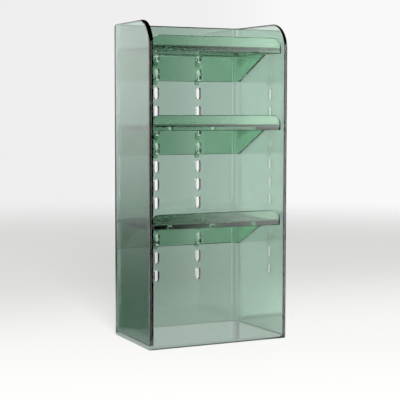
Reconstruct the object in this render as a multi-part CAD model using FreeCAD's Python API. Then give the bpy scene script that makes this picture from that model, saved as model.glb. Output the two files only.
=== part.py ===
import FreeCAD, Part
import math
import os

os.makedirs("parts", exist_ok=True)

# Frame: origin on the table at the middle of the case's footprint, front towards -Y, +Z up, millimetres

# The case: one clear moulding with a floor, two side panels and a back panel
case_height = 250.0
case_depth = 80.0
case_front_width = 119.0
side_draft = 2.2  # each side panel leans in by this much from the front to the back
panel_thickness = 3.2
floor_thickness = 2.8
back_corner_radius = 8.5  # outside, in plan
top_corner_radius = 20.0  # the side panels' front top corners, seen from the side
outer_rounding = 1.8  # the outside edges in front and at the top
bottom_rounding = 0.5  # the outside edges under the side panels and the back panel
inner_rounding = 0.5  # the inside edges of the rims
floor_fillet = 0.8  # inside, between the floor and the panels

# The slots in the back panel: two columns, upright, with round ends
slot_width = 4.0
slot_height = 10.0
slot_pitch = 15.05
slot_rows = 13
slot_column_spacing = 38.0
top_slot_below_rim = 24.4  # from the case's top rim to the middle of the first slots

# The shelves, each with the slot row of its upper hooks, counted from the top
shelf_rows = {"top_shelf": 1, "middle_shelf": 5, "bottom_shelf": 10}

# One shelf: a plate with a lip in front, a back plate and gussets below it, and hooks behind
plate_thickness = 3.6  # up to the crests of its ripple
plate_above_slot = 4.3  # from the middle of the upper slots to the plate's top
lip_height = 8.3  # above the plate's top
lip_thickness = 3.0
lip_setback = 4.0  # behind the case's front edges
lip_corner_radius = 6.8  # the lip's top corners, seen from the front
back_plate_thickness = 2.8
back_plate_margin = 0.3  # below the lower slots
gusset_thickness = 2.4
gusset_setback = 22.8  # from the lip's front to the gusset's front end
gusset_foot = 8.4  # the level stretch at the gusset's lower end
inner_fillet = 1.2  # between the plate and the lip, and under the plate at the back
edge_rounding = 0.7  # the shelf's free edges

# The hooks: hollow necks with a catch behind the back panel
neck_height = 6.0
neck_wall = 0.8  # beside the hollow
neck_floor = 1.0  # below the hollow
neck_roof = 1.5  # above the hollow
catch_thickness = 2.0
catch_drop = 3.5  # below the neck

# Clearances between the shelves and the case
side_gap = 0.8
back_gap = 0.1
neck_side_gap = 0.2
seat_gap = 0.05  # under a neck that rests in its slot
catch_gap = 0.3  # between the catch and the back panel

# Places that follow from the sizes
front = -case_depth / 2
back = case_depth / 2
panel_face = back - panel_thickness
top_slot_z = case_height - top_slot_below_rim
slot_columns = (-slot_column_spacing / 2, slot_column_spacing / 2)
inner_corner_radius = back_corner_radius - panel_thickness
shelf_corner_radius = inner_corner_radius - gusset_thickness
lip_front = front + lip_setback
shelf_back = panel_face - back_gap
back_plate_face = shelf_back - back_plate_thickness
neck_width = slot_width - 2 * neck_side_gap
catch_face = back + catch_gap
catch_back = catch_face + catch_thickness
overrun = 5.0  # how far a cutting or trimming solid runs past the piece
least_turn = math.radians(20)  # an edge is sharp where its faces turn by more
touching = 1e-4  # points nearer than this are one place
beyond = case_front_width / 2 + overrun


def slot_z(row):
    """The height of the middle of a row's slots."""
    return top_slot_z - slot_pitch * (row - 1)


def half_width(y, inset):
    """Half the case's outer width at a depth, less an inset on each side."""
    return case_front_width / 2 - inset - side_draft * (y - front) / case_depth


def in_plan(corners, z):
    """Plan points at a height."""
    return [FreeCAD.Vector(x, y, z) for x, y in corners]


def in_side_view(corners, x):
    """Side view points on a plane across X."""
    return [FreeCAD.Vector(x, y, z) for y, z in corners]


def in_front_view(corners, y):
    """Front view points on a plane across Y."""
    return [FreeCAD.Vector(x, y, z) for x, z in corners]


def rounded_face(points, radii):
    """A flat face through the points, with each corner rounded by its radius."""
    edges = []
    starts = []
    ends = []
    count = len(points)
    for i in range(count):
        corner = points[i]
        to_last = (points[i - 1] - corner).normalize()
        to_next = (points[(i + 1) % count] - corner).normalize()
        half_angle = to_last.getAngle(to_next) / 2
        reach = radii[i] / math.tan(half_angle)
        starts.append(corner + to_last * reach)
        ends.append(corner + to_next * reach)
        if radii[i] > 0:
            bisector = (to_last + to_next).normalize()
            middle = corner + bisector * (radii[i] / math.sin(half_angle) - radii[i])
            edges.append(Part.Arc(starts[i], middle, ends[i]).toShape())
    for i in range(count):
        following = (i + 1) % count
        if ends[i].distanceToPoint(starts[following]) > touching:
            edges.append(Part.LineSegment(ends[i], starts[following]).toShape())
    return Part.Face(Part.Wire(Part.sortEdges(edges)[0]))


def plan_prism(inset, front_y, back_y, back_radius, low, high):
    """An upright prism with the case's drafted plan, set in from its sides."""
    corners = [
        (-half_width(front_y, inset), front_y),
        (half_width(front_y, inset), front_y),
        (half_width(back_y, inset), back_y),
        (-half_width(back_y, inset), back_y),
    ]
    face = rounded_face(in_plan(corners, low), [0, 0, back_radius, back_radius])
    return face.extrude(FreeCAD.Vector(0, 0, high - low))


def side_prism(corners, radii):
    """A prism right across the case with a side view outline."""
    face = rounded_face(in_side_view(corners, -beyond), radii)
    return face.extrude(FreeCAD.Vector(2 * beyond, 0, 0))


def stadium_prism(x, low, high, width, front_y, back_y):
    """A prism along Y with a round-ended upright outline."""
    radius = width / 2
    left_top = FreeCAD.Vector(x - radius, front_y, high - radius)
    right_top = FreeCAD.Vector(x + radius, front_y, high - radius)
    left_low = FreeCAD.Vector(x - radius, front_y, low + radius)
    right_low = FreeCAD.Vector(x + radius, front_y, low + radius)
    outline = [
        Part.Arc(left_top, FreeCAD.Vector(x, front_y, high), right_top).toShape(),
        Part.LineSegment(right_top, right_low).toShape(),
        Part.Arc(right_low, FreeCAD.Vector(x, front_y, low), left_low).toShape(),
        Part.LineSegment(left_low, left_top).toShape(),
    ]
    face = Part.Face(Part.Wire(outline))
    return face.extrude(FreeCAD.Vector(0, back_y - front_y, 0))


def sharp_edges(shape):
    """The edges where two faces meet at an angle."""
    found = []
    for edge in shape.Edges:
        middle = edge.valueAt((edge.FirstParameter + edge.LastParameter) / 2)
        normals = []
        for face in shape.ancestorsOfType(edge, Part.Face):
            place = face.Surface.parameter(middle)
            normals.append(face.normalAt(*place))
        if len(normals) == 2 and normals[0].getAngle(normals[1]) > least_turn:
            found.append(edge)
    return found


def case_solid():
    """Floor, side panels and back panel as one moulding, with the slots."""
    side_view = [(front, 0), (back, 0), (back, case_height), (front, case_height)]
    block = plan_prism(0, front, back, back_corner_radius, 0, case_height)
    block = block.common(side_prism(side_view, [0, 0, 0, top_corner_radius]))
    block = block.makeFillet(bottom_rounding, bottom_edges(block))
    block = block.makeFillet(outer_rounding, sharp_edges(block))
    cavity = plan_prism(
        panel_thickness,
        front - overrun,
        panel_face,
        inner_corner_radius,
        floor_thickness,
        case_height + overrun,
    )
    shell = block.cut(cavity)
    shell = shell.makeFillet(floor_fillet, floor_edges(shell))
    shell = shell.makeFillet(inner_rounding, sharp_edges(shell))
    for x in slot_columns:
        for row in range(1, slot_rows + 1):
            low = slot_z(row) - slot_height / 2
            high = slot_z(row) + slot_height / 2
            slot = stadium_prism(x, low, high, slot_width, panel_face - overrun, back + overrun)
            shell = shell.cut(slot)
    return shell


def bottom_edges(block):
    """The edges under the side panels and the back panel."""
    return [
        edge
        for edge in block.Edges
        if edge.BoundBox.ZMax < touching and edge.BoundBox.YMax - front > touching
    ]


def floor_edges(shell):
    """The inside edges between the floor and the panels."""
    inside = []
    for edge in shell.Edges:
        bounds = edge.BoundBox
        on_floor = max(abs(bounds.ZMin - floor_thickness), abs(bounds.ZMax - floor_thickness)) < touching
        if on_floor and bounds.YMax - front > touching:
            inside.append(edge)
    return inside


def shelf_section(row):
    """The plate, lip and back plate in side view, as a prism right across the case."""
    plate_top = slot_z(row) + plate_above_slot
    plate_under = plate_top - plate_thickness
    lip_top = plate_top + lip_height
    lip_back = lip_front + lip_thickness
    corners = [
        (lip_front, plate_under),
        (back_plate_face, plate_under),
        (back_plate_face, back_plate_bottom(row)),
        (shelf_back, back_plate_bottom(row)),
        (shelf_back, plate_top),
        (lip_back, plate_top),
        (lip_back, lip_top),
        (lip_front, lip_top),
    ]
    radii = [
        edge_rounding,
        inner_fillet,
        edge_rounding,
        edge_rounding,
        edge_rounding,
        inner_fillet,
        edge_rounding,
        edge_rounding,
    ]
    return side_prism(corners, radii)


def back_plate_bottom(row):
    """The lower edge of a shelf's back plate, just below its lower slots."""
    return slot_z(row + 1) - slot_height / 2 - back_plate_margin


def gussets(row):
    """The two triangles under the plate, turned round the back corners into the back plate."""
    plate_middle = slot_z(row) + plate_above_slot - plate_thickness / 2
    plate_under = slot_z(row) + plate_above_slot - plate_thickness
    low = back_plate_bottom(row)
    corners = [
        (lip_front + gusset_setback, plate_under),
        (shelf_back - gusset_foot, low),
        (shelf_back, low),
        (shelf_back, plate_middle),
        (lip_front + gusset_setback, plate_middle),
    ]
    triangle = side_prism(corners, [0, 0, edge_rounding, 0, 0])
    middle = plan_prism(
        panel_thickness + side_gap + gusset_thickness,
        front,
        back_plate_face,
        shelf_corner_radius,
        low - overrun,
        plate_middle + overrun,
    )
    return triangle.cut(middle)


def shelf_envelope(row):
    """The room that the case leaves for a shelf, with its rounded back corners."""
    low = back_plate_bottom(row) - overrun
    high = slot_z(row) + plate_above_slot + lip_height
    inset = panel_thickness + side_gap
    room = plan_prism(inset, lip_front, shelf_back, inner_corner_radius, low, high)
    reach = half_width(lip_front, inset)
    front_view = [(-reach, low), (reach, low), (reach, high), (-reach, high)]
    radii = [0, 0, lip_corner_radius, lip_corner_radius]
    rounding = rounded_face(in_front_view(front_view, front), radii)
    return room.common(rounding.extrude(FreeCAD.Vector(0, case_depth, 0)))


def hooks(row):
    """Four necks with their catches, and the hollows through them."""
    solids = []
    hollows = []
    for x in slot_columns:
        for slot_row in (row, row + 1):
            low = slot_z(slot_row) - slot_height / 2 + seat_gap
            high = low + neck_height
            neck = stadium_prism(x, low, high, neck_width, back_plate_face, catch_back)
            catch = stadium_prism(x, low - catch_drop, high, neck_width, catch_face, catch_back)
            hollow = stadium_prism(
                x,
                low + neck_floor,
                high - neck_roof,
                neck_width - 2 * neck_wall,
                back_plate_face - overrun,
                catch_back + overrun,
            )
            solids.append(neck.fuse(catch))
            hollows.append(hollow)
    return solids, hollows


def shelf_solid(row):
    """One shelf, hung on its row."""
    plates = shelf_section(row).fuse(gussets(row)).common(shelf_envelope(row))
    necks, hollows = hooks(row)
    whole = plates.fuse(necks).removeSplitter()
    return whole.cut(hollows)


def save(shape, node):
    """Write one node as a single valid solid."""
    solid = shape.Solids[0]
    print(node, "solids", len(shape.Solids), "valid", solid.isValid(), "volume", round(solid.Volume, 1))
    solid.exportStep("parts/" + node + ".step")


save(case_solid(), "case")
for node, row in shelf_rows.items():
    save(shelf_solid(row), node)
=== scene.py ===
import math

import bmesh
import bpy
from mathutils import Matrix, Vector, noise


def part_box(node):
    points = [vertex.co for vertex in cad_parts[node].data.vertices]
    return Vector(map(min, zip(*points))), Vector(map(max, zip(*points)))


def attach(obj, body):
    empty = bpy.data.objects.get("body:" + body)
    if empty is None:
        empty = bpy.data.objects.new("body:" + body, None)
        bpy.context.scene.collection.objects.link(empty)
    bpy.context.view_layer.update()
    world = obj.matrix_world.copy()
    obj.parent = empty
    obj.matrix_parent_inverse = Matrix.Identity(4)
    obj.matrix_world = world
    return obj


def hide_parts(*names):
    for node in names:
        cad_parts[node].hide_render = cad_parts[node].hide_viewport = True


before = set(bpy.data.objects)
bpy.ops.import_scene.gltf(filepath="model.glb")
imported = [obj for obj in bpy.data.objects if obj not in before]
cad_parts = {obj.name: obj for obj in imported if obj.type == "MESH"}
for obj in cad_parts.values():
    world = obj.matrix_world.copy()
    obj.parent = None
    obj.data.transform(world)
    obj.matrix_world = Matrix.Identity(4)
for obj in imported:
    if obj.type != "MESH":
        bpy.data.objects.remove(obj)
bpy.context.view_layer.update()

bpy.context.scene.view_settings.view_transform = "Standard"

# The photograph's camera, from a fit to the case's edges and slots
photo_width_px = 400
focal_px = 1190.6
sensor_width_mm = 36.0
camera_place = Vector((-0.41974, -0.85346, 0.18234))
camera_yaw = math.radians(26.309)
camera_pitch = math.radians(4.352)
camera_roll = math.radians(0.102)

# Clear plastic. One metre of it lets exp(-density * (1 - colour)) of the light through.
plastic_ior = 1.5
case_tint = (0.37, 0.50, 0.425)
shelf_tint = (0.46, 0.70, 0.53)
absorption_colour = (0.30, 0.56, 0.42)
absorption_density = 8.0
waver_scale = 45.0  # how often the moulded faces waver in a metre
waver_height = 0.00002
roughest = 0.01

# The ripple on the shelf plates, in metres, from its crests down
ripple_depth = 0.0010
ripple_wavelength = Vector((0.0064, 0.0200, 0))
ripple_bend = 2.0  # how far the rows of waves wander, in radians
ripple_bend_scale = 60.0  # how often they wander in a metre
ripple_bend_layers = (0.3, 0.7)  # where the noise is cut for the bend across and along
ripple_step = 0.0005
ripple_start = 0.0042  # from the shelf's front, where the lip's fillet ends
ripple_fade = 0.0006
ripple_margin = 0.002  # how far the cutter reaches past the plate
plate_from_shelf_top = 0.0083
smooth_angle = math.radians(32)
weld_distance = 1e-6

# Floor and backdrop, in metres
floor_size = 6.0
floor_level = 0.0002  # just above the case's underside, which the table top touches
# The table's tone near the object, and its darker tone behind it, which is painted shade
floor_near = (0.92, 0.92, 0.91, 1.0)
floor_shaded_far = (0.76, 0.76, 0.75, 1.0)
floor_painted_shade_span = (-0.02, 0.35)  # from and to, towards the back, where painted shade darkens the table
floor_fades = (0.7, 1.5)  # from and to, all round
backdrop_across = (0.896, -0.443, 0.0)  # the direction in which the tones are laid out
backdrop_painted_light_tones = (  # how far across, and the grey there: painted light, lighter towards the right as if lit from that side
    (-0.17, 0.86),
    (0.0, 0.86),
    (0.04, 0.90),
    (0.07, 0.96),
)
soft_light = (0.85, 0.85, 0.85, 1.0)

# Reflected rays see the floor near the object only: it fades for them between these distances
# from the object's half width and half depth. The third size takes the height out.
footprint = (0.06, 0.042, 1.0)
floor_reflected = (0.008, 0.03)
reflected_once = 0.5  # Glossy Depth is above this after a reflection

# What reflected rays see around them: the backdrop, the table and studio softboxes. Each has
# the degrees round from +Y, towards +X, at which it starts, is full, is still full and ends, the
# same four for its height, from -1 straight down to 1 straight up, and its light.
whole_turn = 360
softboxes = {
    "backdrop": ((-20, -5, 25, 40), (0.1, 0.16, 0.3, 0.6), 1.0),
    "table": ((-20, -5, 25, 40), (-1.1, -1.0, -0.17, -0.12), 0.9),
    "right_softbox": ((105, 130, 149, 156), (-1.0, 0.0, 0.25, 0.4), 5.0),
    "corner_softbox": ((163, 172, 200, 215), (-1.0, 0.0, 0.25, 0.4), 2.0),
    "left_softbox": ((236, 256, 310, 322), (-1.0, 0.0, 0.25, 0.4), 3.0),
    "low_left": ((314, 322, 326, 328), (-1.1, -1.0, -0.17, -0.12), 2.5),
    "high_left": ((314, 322, 326, 328), (0.12, 0.17, 0.3, 0.6), 2.5),
    "wall_softbox": ((326.2, 326.8, 331, 336), (-1.0, 0.0, 0.25, 0.4), 3.0),
    "far_left_softbox": ((334, 337, 345, 355), (-0.18, 0.06, 0.25, 0.4), 1.9),
}

# The lamp that casts the object's shadow
key_place = Vector((-0.45, -1.3, 0.75))
key_target = Vector((0, 0, 0.1))
key_size = 0.4
key_watts = 9


def new_material(name):
    """An empty node material with its output."""
    material = bpy.data.materials.new(name)
    material.use_nodes = True
    nodes = material.node_tree.nodes
    nodes.clear()
    output = nodes.new("ShaderNodeOutputMaterial")
    return material, nodes, material.node_tree.links, output


def clear_plastic(name, tint):
    """Polished moulded plastic: refracting, tinted at its surface and through its thickness."""
    material, nodes, links, output = new_material(name)
    surface = nodes.new("ShaderNodeBsdfPrincipled")
    surface.inputs["Base Color"].default_value = (*tint, 1)
    surface.inputs["IOR"].default_value = plastic_ior
    surface.inputs["Transmission Weight"].default_value = 1.0
    place = nodes.new("ShaderNodeTexCoord")
    waver = nodes.new("ShaderNodeTexNoise")
    waver.inputs["Scale"].default_value = waver_scale
    sheen = nodes.new("ShaderNodeMapRange")
    sheen.inputs["To Max"].default_value = roughest
    bump = nodes.new("ShaderNodeBump")
    bump.inputs["Distance"].default_value = waver_height
    links.new(place.outputs["Object"], waver.inputs["Vector"])
    links.new(waver.outputs["Fac"], sheen.inputs["Value"])
    links.new(sheen.outputs["Result"], surface.inputs["Roughness"])
    links.new(waver.outputs["Fac"], bump.inputs["Height"])
    links.new(bump.outputs["Normal"], surface.inputs["Normal"])
    volume = nodes.new("ShaderNodeVolumeAbsorption")
    volume.inputs["Color"].default_value = (*absorption_colour, 1)
    volume.inputs["Density"].default_value = absorption_density
    links.new(surface.outputs["BSDF"], output.inputs["Surface"])
    links.new(volume.outputs["Volume"], output.inputs["Volume"])
    return material


def ripple_height(x, y, front):
    """How far the rippled surface lies below its crests at a place."""
    bend_across, bend_along = (
        ripple_bend * noise.noise(Vector((x, y, layer)) * ripple_bend_scale)
        for layer in ripple_bend_layers
    )
    across = math.sin(math.tau * x / ripple_wavelength.x + bend_across)
    along = math.sin(math.tau * y / ripple_wavelength.y + bend_along)
    wave = (1 - across * along) / 2
    fade = min(1.0, max(0.0, (y - front) / ripple_fade))
    return ripple_depth * wave * fade


def ripple_cutter(low, high, top):
    """A block whose rippled underside cuts the plate's top."""
    columns = math.ceil((high.x - low.x) / ripple_step)
    rows = math.ceil((high.y - low.y) / ripple_step)
    block = bmesh.new()
    under = []
    over = []
    for j in range(rows + 1):
        y = low.y + (high.y - low.y) * j / rows
        for i in range(columns + 1):
            x = low.x + (high.x - low.x) * i / columns
            under.append(block.verts.new((x, y, top - ripple_height(x, y, low.y))))
            if i in (0, columns) and j in (0, rows):
                over.append(block.verts.new((x, y, top + ripple_margin)))
    width = columns + 1
    for j in range(rows):
        for i in range(columns):
            first = j * width + i
            corners = (first, first + width, first + width + 1, first + 1)
            block.faces.new([under[c] for c in corners])
    front_row = under[:width]
    back_row = under[rows * width:]
    left_row = under[::width]
    right_row = under[columns::width]
    block.faces.new(front_row + [over[1], over[0]])
    block.faces.new(back_row[::-1] + [over[2], over[3]])
    block.faces.new(left_row[::-1] + [over[0], over[2]])
    block.faces.new(right_row + [over[3], over[1]])
    block.faces.new((over[0], over[1], over[3], over[2]))
    bmesh.ops.recalc_face_normals(block, faces=block.faces)
    mesh = bpy.data.meshes.new("ripple_cutter")
    block.to_mesh(mesh)
    block.free()
    cutter = bpy.data.objects.new("ripple_cutter", mesh)
    bpy.context.scene.collection.objects.link(cutter)
    return cutter


def rippled_shelf(name, plastic):
    """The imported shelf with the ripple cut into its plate."""
    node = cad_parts[name]
    low, high = (Vector(corner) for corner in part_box(name))
    solid = bmesh.new()
    solid.from_mesh(node.data)
    bmesh.ops.remove_doubles(solid, verts=solid.verts, dist=weld_distance)
    points = [v.co.copy() for v in solid.verts]
    solid.verts.index_update()
    faces = [[v.index for v in face.verts] for face in solid.faces]
    solid.free()
    mesh = bpy.data.meshes.new(name + "_rippled")
    mesh.from_pydata(points, [], faces)
    shelf = bpy.data.objects.new(name + "_rippled", mesh)
    bpy.context.scene.collection.objects.link(shelf)
    top = high.z - plate_from_shelf_top
    start = Vector((low.x - ripple_margin, low.y + ripple_start, 0))
    end = Vector((high.x + ripple_margin, high.y + ripple_margin, 0))
    cutter = ripple_cutter(start, end, top)
    cut = shelf.modifiers.new("ripple", "BOOLEAN")
    cut.operation = "DIFFERENCE"
    cut.solver = "EXACT"
    cut.object = cutter
    graph = bpy.context.evaluated_depsgraph_get()
    result = bpy.data.meshes.new_from_object(shelf.evaluated_get(graph))
    shelf.modifiers.clear()
    shelf.data = result
    result.name = name + "_rippled"
    result.shade_smooth()
    result.set_sharp_from_angle(angle=smooth_angle)
    result.materials.clear()
    result.materials.append(plastic)
    bpy.data.objects.remove(cutter)
    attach(shelf, name)
    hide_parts(name)
    shelf.visible_diffuse = False  # the light that the table gathers passes through it


def ramp_between(nodes, links, value, start, end):
    """A smooth step from 0 to 1 of a shader value between two of its values."""
    ramp = nodes.new("ShaderNodeMapRange")
    ramp.interpolation_type = "SMOOTHSTEP"
    ramp.inputs["From Min"].default_value = start
    ramp.inputs["From Max"].default_value = end
    links.new(value, ramp.inputs["Value"])
    return ramp.outputs["Result"]


def combine(nodes, links, operation, first, second):
    """A math node on two values, each an output or a number."""
    math_node = nodes.new("ShaderNodeMath")
    math_node.operation = operation
    for socket, value in zip(math_node.inputs, (first, second)):
        if isinstance(value, (int, float)):
            socket.default_value = value
        else:
            links.new(value, socket)
    return math_node.outputs["Value"]


def on_vector(nodes, links, operation, vector, other=None):
    """A vector math node on an output, with a constant as its second vector if one is given."""
    node = nodes.new("ShaderNodeVectorMath")
    node.operation = operation
    links.new(vector, node.inputs[0])
    if other is not None:
        node.inputs[1].default_value = other
    return node.outputs["Value" if operation in ("LENGTH", "DOT_PRODUCT") else "Vector"]


def blend(nodes, links, share, first, second):
    """A mix of two shaders, with this share of the second."""
    mix = nodes.new("ShaderNodeMixShader")
    links.new(share, mix.inputs["Fac"])
    links.new(first, mix.inputs[1])
    links.new(second, mix.inputs[2])
    return mix.outputs["Shader"]


def add_camera():
    """The photograph's camera."""
    data = bpy.data.cameras.new("camera")
    data.sensor_width = sensor_width_mm
    data.lens = focal_px / photo_width_px * data.sensor_width
    camera = bpy.data.objects.new("camera", data)
    forward = Vector((
        math.sin(camera_yaw) * math.cos(camera_pitch),
        math.cos(camera_yaw) * math.cos(camera_pitch),
        -math.sin(camera_pitch),
    ))
    right = Vector((math.cos(camera_yaw), -math.sin(camera_yaw), 0))
    up = right.cross(forward)
    rolled_right = right * math.cos(camera_roll) + up * math.sin(camera_roll)
    rolled_up = up * math.cos(camera_roll) - right * math.sin(camera_roll)
    turn = Matrix((rolled_right, rolled_up, -forward)).transposed().to_4x4()
    camera.matrix_world = Matrix.Translation(camera_place) @ turn
    bpy.context.scene.collection.objects.link(camera)
    bpy.context.scene.camera = camera


def add_floor():
    """A wide pale table top, darkened behind the object with painted shade, that fades into the
    backdrop.
    """
    bpy.ops.mesh.primitive_plane_add(size=floor_size, location=(0, 0, floor_level))
    floor = bpy.context.object
    floor.name = "floor"
    material, nodes, links, output = new_material("pale_floor")
    place = nodes.new("ShaderNodeTexCoord").outputs["Object"]
    split = nodes.new("ShaderNodeSeparateXYZ")
    links.new(place, split.inputs["Vector"])
    # Painted shade: the table darkens towards the back, behind the object
    behind = ramp_between(nodes, links, split.outputs["Y"], *floor_painted_shade_span)
    tone = nodes.new("ShaderNodeValToRGB")
    tone.color_ramp.elements[0].color = floor_near
    tone.color_ramp.elements[1].color = floor_shaded_far
    links.new(behind, tone.inputs["Fac"])
    surface = nodes.new("ShaderNodeBsdfDiffuse")
    links.new(tone.outputs["Color"], surface.inputs["Color"])

    distance = on_vector(nodes, links, "LENGTH", place)
    faded = ramp_between(nodes, links, distance, *floor_fades)
    from_middle = on_vector(nodes, links, "ABSOLUTE", place)
    past_edge = on_vector(nodes, links, "SUBTRACT", from_middle, footprint)
    outside = on_vector(nodes, links, "MAXIMUM", past_edge, (0, 0, 0))
    gap = on_vector(nodes, links, "LENGTH", outside)
    far_off = ramp_between(nodes, links, gap, *floor_reflected)
    bounces = nodes.new("ShaderNodeLightPath").outputs["Glossy Depth"]
    reflected = combine(nodes, links, "GREATER_THAN", bounces, reflected_once)
    unseen = combine(nodes, links, "MULTIPLY", far_off, reflected)
    clearness = combine(nodes, links, "MAXIMUM", faded, unseen)
    clear = nodes.new("ShaderNodeBsdfTransparent")
    shown = blend(nodes, links, clearness, surface.outputs["BSDF"], clear.outputs["BSDF"])
    links.new(shown, output.inputs["Surface"])
    floor.data.materials.append(material)


def softbox_light(nodes, links, round_from, height, box):
    """The light of one softbox in the direction that the world is asked for."""
    (start, full, still_full, end), (low, low_full, high_full, high), light = box
    from_start = combine(nodes, links, "ADD", round_from, 2 * whole_turn - start)
    turned = combine(nodes, links, "MODULO", from_start, whole_turn)
    for value, dark, lit in (
        (turned, 0, full - start),
        (turned, end - start, still_full - start),
        (height, low, low_full),
        (height, high, high_full),
    ):
        ramp = ramp_between(nodes, links, value, dark, lit)
        light = combine(nodes, links, "MULTIPLY", light, ramp)
    return light


def add_world():
    """Soft light all round, a pale backdrop with painted light that grows lighter to the right,
    and softboxes that only reflections see.
    """
    world = bpy.data.worlds.new("studio")
    world.use_nodes = True
    nodes = world.node_tree.nodes
    links = world.node_tree.links
    soft = nodes["Background"]
    soft.inputs["Color"].default_value = soft_light
    direction = nodes.new("ShaderNodeTexCoord").outputs["Generated"]

    # Painted light: the backdrop grows lighter across, towards the right
    across = on_vector(nodes, links, "DOT_PRODUCT", direction, backdrop_across)
    first = backdrop_painted_light_tones[0][0]
    last = backdrop_painted_light_tones[-1][0]
    laid_out = nodes.new("ShaderNodeMapRange")
    laid_out.inputs["From Min"].default_value = first
    laid_out.inputs["From Max"].default_value = last
    links.new(across, laid_out.inputs["Value"])
    tone = nodes.new("ShaderNodeValToRGB")
    tone.color_ramp.interpolation = "B_SPLINE"
    for place, _ in backdrop_painted_light_tones[1:-1]:
        tone.color_ramp.elements.new((place - first) / (last - first))
    for element, (_, grey) in zip(tone.color_ramp.elements, backdrop_painted_light_tones):
        element.color = (grey, grey, grey, 1)
    links.new(laid_out.outputs["Result"], tone.inputs["Fac"])
    backdrop = nodes.new("ShaderNodeBackground")
    links.new(tone.outputs["Color"], backdrop.inputs["Color"])

    split = nodes.new("ShaderNodeSeparateXYZ")
    links.new(direction, split.inputs["Vector"])
    angle = combine(nodes, links, "ARCTAN2", split.outputs["X"], split.outputs["Y"])
    round_from = combine(nodes, links, "MULTIPLY", angle, math.degrees(1))
    total = 0.0
    for box in softboxes.values():
        light = softbox_light(nodes, links, round_from, split.outputs["Z"], box)
        total = combine(nodes, links, "ADD", total, light)
    studio = nodes.new("ShaderNodeBackground")
    studio.inputs["Color"].default_value = (1, 1, 1, 1)
    links.new(total, studio.inputs["Strength"])

    path = nodes.new("ShaderNodeLightPath").outputs
    seen = combine(nodes, links, "MAXIMUM", path["Is Camera Ray"], path["Is Transmission Ray"])
    plain = soft.outputs["Background"]
    behind = blend(nodes, links, seen, plain, backdrop.outputs["Background"])
    reflected = combine(nodes, links, "GREATER_THAN", path["Glossy Depth"], reflected_once)
    around = blend(nodes, links, reflected, behind, studio.outputs["Background"])
    links.new(around, nodes["World Output"].inputs["Surface"])
    bpy.context.scene.world = world


def add_key_lamp():
    """A square soft lamp, which reflections don't show."""
    data = bpy.data.lights.new("key", "AREA")
    data.shape = "SQUARE"
    data.size = key_size
    data.energy = key_watts
    lamp = bpy.data.objects.new("key", data)
    lamp.location = key_place
    lamp.rotation_mode = "QUATERNION"
    lamp.rotation_quaternion = (key_target - key_place).to_track_quat("-Z", "Y")
    lamp.visible_glossy = False
    bpy.context.scene.collection.objects.link(lamp)


case_plastic = clear_plastic("case_plastic", case_tint)
shelf_plastic = clear_plastic("shelf_plastic", shelf_tint)
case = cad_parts["case"]
case.data.materials.clear()
case.data.materials.append(case_plastic)
case.visible_diffuse = False  # the light that the table gathers passes through it
for name in ("top_shelf", "middle_shelf", "bottom_shelf"):
    rippled_shelf(name, shelf_plastic)
add_camera()
add_floor()
add_world()
add_key_lamp()

bpy.context.view_layer.update()
